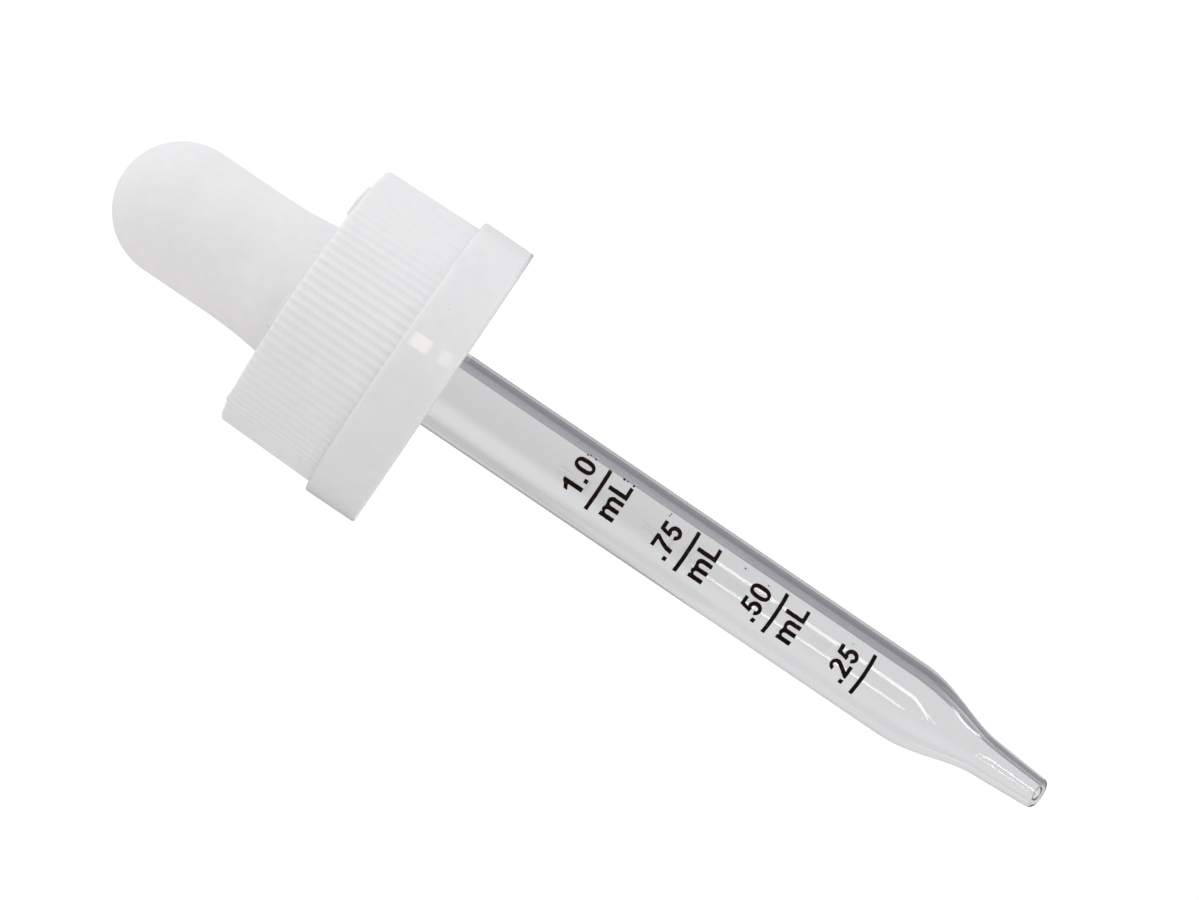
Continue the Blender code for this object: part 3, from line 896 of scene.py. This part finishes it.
room = {
    "keySide": (0.8, -0.15, 0.58), "grey": 0.85, "keyGain": 0.128, "cool": (0.985, 0.99, 1.02),
    "warm": (1.0, 0.97, 0.935), "dim": 0.32, "bright": 1.15, "brightFrom": -0.1, "brightTo": 0.9,
    "rearSide": (0.5, 0.86, 0.0), "rear": 0.72, "rearFrom": 0.45, "rearTo": 0.95, "white": 1.05,
}
floorSpec = {"drop": 190.0, "size": 3000.0, "colour": (0.86, 0.86, 0.86, 1.0), "roughness": 0.9, "glow": 1.1,
             "glowShare": 0.8}
keyLight = {"place": (520.0, -220.0, 380.0), "size": 420.0, "power": 0.55, "colour": (1.0, 0.995, 0.99)}
darkWall = {"facing": (-0.4, -1.0, 0.0), "strength": 0.255, "colour": (0.955, 0.93, 1.06), "glass": True}
window = {"distance": 400.0, "gloss": True, "glass": True}
cards = [
    # a card stands at its centre, or at an azimuth from the front towards +X; gloss and glass: what sees it
    dict(darkWall, name="darkCard", centre=(308.0, 250.0, -134.0), size=(512.0, 251.0), gloss=True),
    dict(darkWall, name="darkCardHigh", centre=(308.0, 250.0, 70.0), size=(512.0, 157.0), gloss=False),
    dict(window, name="upperWindow", azimuth=16.9, height=3.95, size=(72.0, 5.3), strength=4.5,
         colour=(1.0, 0.88, 0.77)),
    dict(window, name="lowerWindow", azimuth=17.3, height=-3.3, size=(68.0, 3.3), strength=3.0,
         colour=(1.0, 0.94, 0.85)),
]
lampStrips = [
    # bright edges that run down and round in front of the tube: routes of (azimuth, elevation) in degrees
    {"name": "tallLamp", "width": 4.8, "taper": 0.4, "strength": 7.2,
     "route": ((27.5, -2.0), (27.0, -6.0), (26.5, -9.0), (24.3, -13.0), (18.4, -18.0), (9.4, -25.3),
               (-8.7, -34.3))},
    {"name": "shortLamp", "width": 3.2, "taper": 0.5, "strength": 7.5,
     "route": ((86.0, -38.0), (75.0, -42.5), (66.0, -46.0))},
]
stripRing = {"centreZ": -57.0, "distance": 220.0, "taperSharpness": 6}
backdrop = {
    "size": (700.0, 520.0), "centre": (-276.0, 300.0, -60.0), "colour": (0.985, 0.99, 1.0, 1.0),
    "dim": 0.59, "bright": 0.665, "dimAbove": -55.0, "brightBelow": -105.0,
    "sideGlow": 0.13, "glowFrom": -8.0, "glowTo": -32.0, "glowLow": 0.3, "glowLowZ": -110.0,
    "glowFullZ": -25.0, "farShade": 0.16, "shadeFrom": -90.0, "shadeTo": -170.0, "shadeLowZ": -70.0,
    "shadeFullZ": -35.0,
}


def facingShare(tree, direction):
    # how far a ray from the scene's middle goes along a direction
    generated = addNode(tree, "ShaderNodeTexCoord").outputs["Generated"]
    dot = addNode(tree, "ShaderNodeVectorMath", {"operation": "DOT_PRODUCT"}, inA=generated, inB=direction)
    return dot.outputs["Value"]


def makeWorld():
    # even light for the surfaces, a dimmer room in their gloss, and white for the camera
    world = bpy.data.worlds.new("studioWorld")
    world.use_nodes = True
    bpy.context.scene.world = world
    tree = world.node_tree
    tree.nodes.clear()
    output = tree.nodes.new("ShaderNodeOutputWorld")
    paths = tree.nodes.new("ShaderNodeLightPath")
    key = facingShare(tree, room["keySide"])
    lift = smoothRange(tree, key, -1.0, 1.0)
    light = addMath(tree, "ADD", addMath(tree, "MULTIPLY", lift, room["keyGain"]), room["grey"])
    gloss = smoothRange(tree, key, room["brightFrom"], room["brightTo"], room["dim"], room["bright"])
    rear = facingShare(tree, room["rearSide"])
    rear = smoothRange(tree, rear, room["rearFrom"], room["rearTo"], 0.0, room["rear"])
    gloss = addMath(tree, "MAXIMUM", gloss, rear)
    notThrough = addMath(tree, "SUBTRACT", 1.0, paths.outputs["Is Transmission Ray"])
    reflected = addMath(tree, "MULTIPLY", paths.outputs["Is Glossy Ray"], notThrough)
    strength = addNode(tree, "ShaderNodeMix", {"data_type": "FLOAT"}, Factor=reflected, A=light, B=gloss)
    soft = addNode(tree, "ShaderNodeBackground", Color=mixColour(tree, lift, room["warm"], room["cool"]),
                   Strength=strength.outputs["Result"])
    white = addNode(tree, "ShaderNodeBackground", Color=(1.0, 1.0, 1.0, 1.0), Strength=room["white"])
    mix = addNode(tree, "ShaderNodeMixShader", Fac=paths.outputs["Is Camera Ray"])
    tree.links.new(soft.outputs["Background"], mix.inputs[1])
    tree.links.new(white.outputs["Background"], mix.inputs[2])
    tree.links.new(mix.outputs["Shader"], output.inputs["Surface"])


def makeFloor():
    # pale and plain, and lit up a little for the camera only
    bm = bmesh.new()
    bmesh.ops.create_grid(bm, x_segments=1, y_segments=1, size=floorSpec["size"] / 2)
    material, tree, shader = startMaterial("paleFloor", {"Roughness": floorSpec["roughness"],
                                                         "Base Color": floorSpec["colour"]})
    paths = tree.nodes.new("ShaderNodeLightPath")
    glow = addNode(tree, "ShaderNodeEmission", Color=(1.0, 1.0, 1.0, 1.0), Strength=floorSpec["glow"])
    share = addMath(tree, "MULTIPLY", paths.outputs["Is Camera Ray"], floorSpec["glowShare"])
    mix = addNode(tree, "ShaderNodeMixShader", Fac=share)
    tree.links.new(shader.outputs["BSDF"], mix.inputs[1])
    tree.links.new(glow.outputs["Emission"], mix.inputs[2])
    tree.links.new(mix.outputs["Shader"], tree.nodes["Material Output"].inputs["Surface"])
    floor = finishObject("floor", bm, [material])
    floor.location.z = (glassLow.z - floorSpec["drop"]) * mm


def glowMaterial(name):
    material = bpy.data.materials.new(name)
    material.use_nodes = True
    tree = material.node_tree
    tree.nodes.clear()
    glow = tree.nodes.new("ShaderNodeEmission")
    output = tree.nodes.new("ShaderNodeOutputMaterial")
    tree.links.new(glow.outputs["Emission"], output.inputs["Surface"])
    return material, glow


def stagePanel(panel, gloss=True, glass=True):
    # no camera sees it directly, and it lights nothing by itself
    panel.visible_camera = False
    panel.visible_diffuse = False
    panel.visible_shadow = False
    panel.visible_glossy = gloss
    panel.visible_transmission = glass


def makePanel(name, material, centre, size, facing):
    bm = bmesh.new()
    bmesh.ops.create_grid(bm, x_segments=1, y_segments=1, size=0.5)
    bmesh.ops.scale(bm, vec=(size[0], size[1], 1.0), verts=bm.verts)
    panel = finishObject(name, bm, [material])
    panel.rotation_mode = "QUATERNION"
    panel.rotation_quaternion = Vector(facing).to_track_quat("Z", "Y")
    panel.location = Vector(centre) * mm
    return panel


def makeCard(card):
    material, glow = glowMaterial(card["name"])
    glow.inputs["Color"].default_value = (*card["colour"], 1.0)
    glow.inputs["Strength"].default_value = card["strength"]
    if "azimuth" in card:
        turn = math.radians(card["azimuth"])
        outward = Vector((math.sin(turn), -math.cos(turn), 0.0))
        centre = outward * card["distance"] + Vector((0, 0, card["height"]))
        facing = -outward
    else:
        centre, facing = card["centre"], card["facing"]
    stagePanel(makePanel(card["name"], material, centre, card["size"], facing), card["gloss"], card["glass"])


def makeLampStrip(strip):
    material, glow = glowMaterial(strip["name"])
    glow.inputs["Strength"].default_value = strip["strength"]
    bm = bmesh.new()
    rows = []
    route = [Vector(point) for point in strip["route"]]
    last = len(route) - 1
    middle = Vector((0, 0, stripRing["centreZ"]))
    for i, here in enumerate(route):
        along = (route[min(i + 1, last)] - route[max(i - 1, 0)]).normalized()
        narrowing = (1 - strip["taper"]) * (i / last) ** stripRing["taperSharpness"]
        side = Vector((-along.y, along.x)) * strip["width"] * (1 - narrowing) / 2
        row = []
        for azimuth, elevation in (here - side, here + side):
            turn, tilt = math.radians(azimuth), math.radians(elevation)
            level = math.cos(tilt)
            toward = Vector((level * math.sin(turn), -level * math.cos(turn), math.sin(tilt)))
            row.append(bm.verts.new(middle + toward * stripRing["distance"]))
        rows.append(row)
    for one, other in zip(rows, rows[1:]):
        bm.faces.new((one[0], one[1], other[1], other[0]))
    stagePanel(finishObject(strip["name"], bm, [material]))


def makeBackdrop():
    # soft grey behind the glass: brighter low down, glowing beside the middle, darker far out and high up
    spec = backdrop
    material, glow = glowMaterial("greyBackdrop")
    tree = material.node_tree
    place = addNode(tree, "ShaderNodeNewGeometry").outputs["Position"]
    split = addNode(tree, "ShaderNodeSeparateXYZ", Vector=place)
    x, z = split.outputs["X"], split.outputs["Z"]

    def ramp(value, fromKey, toKey, low, high):
        return smoothRange(tree, value, spec[fromKey] * mm, spec[toKey] * mm, low, high)

    base = ramp(z, "dimAbove", "brightBelow", spec["dim"], spec["bright"])
    glowing = addMath(tree, "MULTIPLY", ramp(x, "glowFrom", "glowTo", 0.0, spec["sideGlow"]),
                      ramp(z, "glowLowZ", "glowFullZ", spec["glowLow"], 1.0))
    shade = addMath(tree, "MULTIPLY", ramp(x, "shadeFrom", "shadeTo", 0.0, 1.0),
                    ramp(z, "shadeLowZ", "shadeFullZ", 0.0, spec["farShade"]))
    strength = addMath(tree, "SUBTRACT", addMath(tree, "ADD", base, glowing), shade)
    tree.links.new(strength, glow.inputs["Strength"])
    glow.inputs["Color"].default_value = spec["colour"]
    stagePanel(makePanel("greyBackdrop", material, spec["centre"], spec["size"], (0, -1, 0)), gloss=False)


def makeKeyLight():
    data = bpy.data.lights.new("keyLight", "AREA")
    data.shape = "SQUARE"
    data.size = keyLight["size"] * mm
    data.energy = keyLight["power"]
    data.color = keyLight["colour"]
    light = bpy.data.objects.new("keyLight", data)
    light.location = Vector(keyLight["place"]) * mm
    light.rotation_mode = "QUATERNION"
    light.rotation_quaternion = Vector(keyLight["place"]).to_track_quat("Z", "Y")
    bpy.context.scene.collection.objects.link(light)


makeWorld()
makeFloor()
makeBackdrop()
for strip in lampStrips:
    makeLampStrip(strip)
for card in cards:
    makeCard(card)
makeKeyLight()
bpy.context.scene.view_settings.view_transform = "Standard"
print("studio lit")
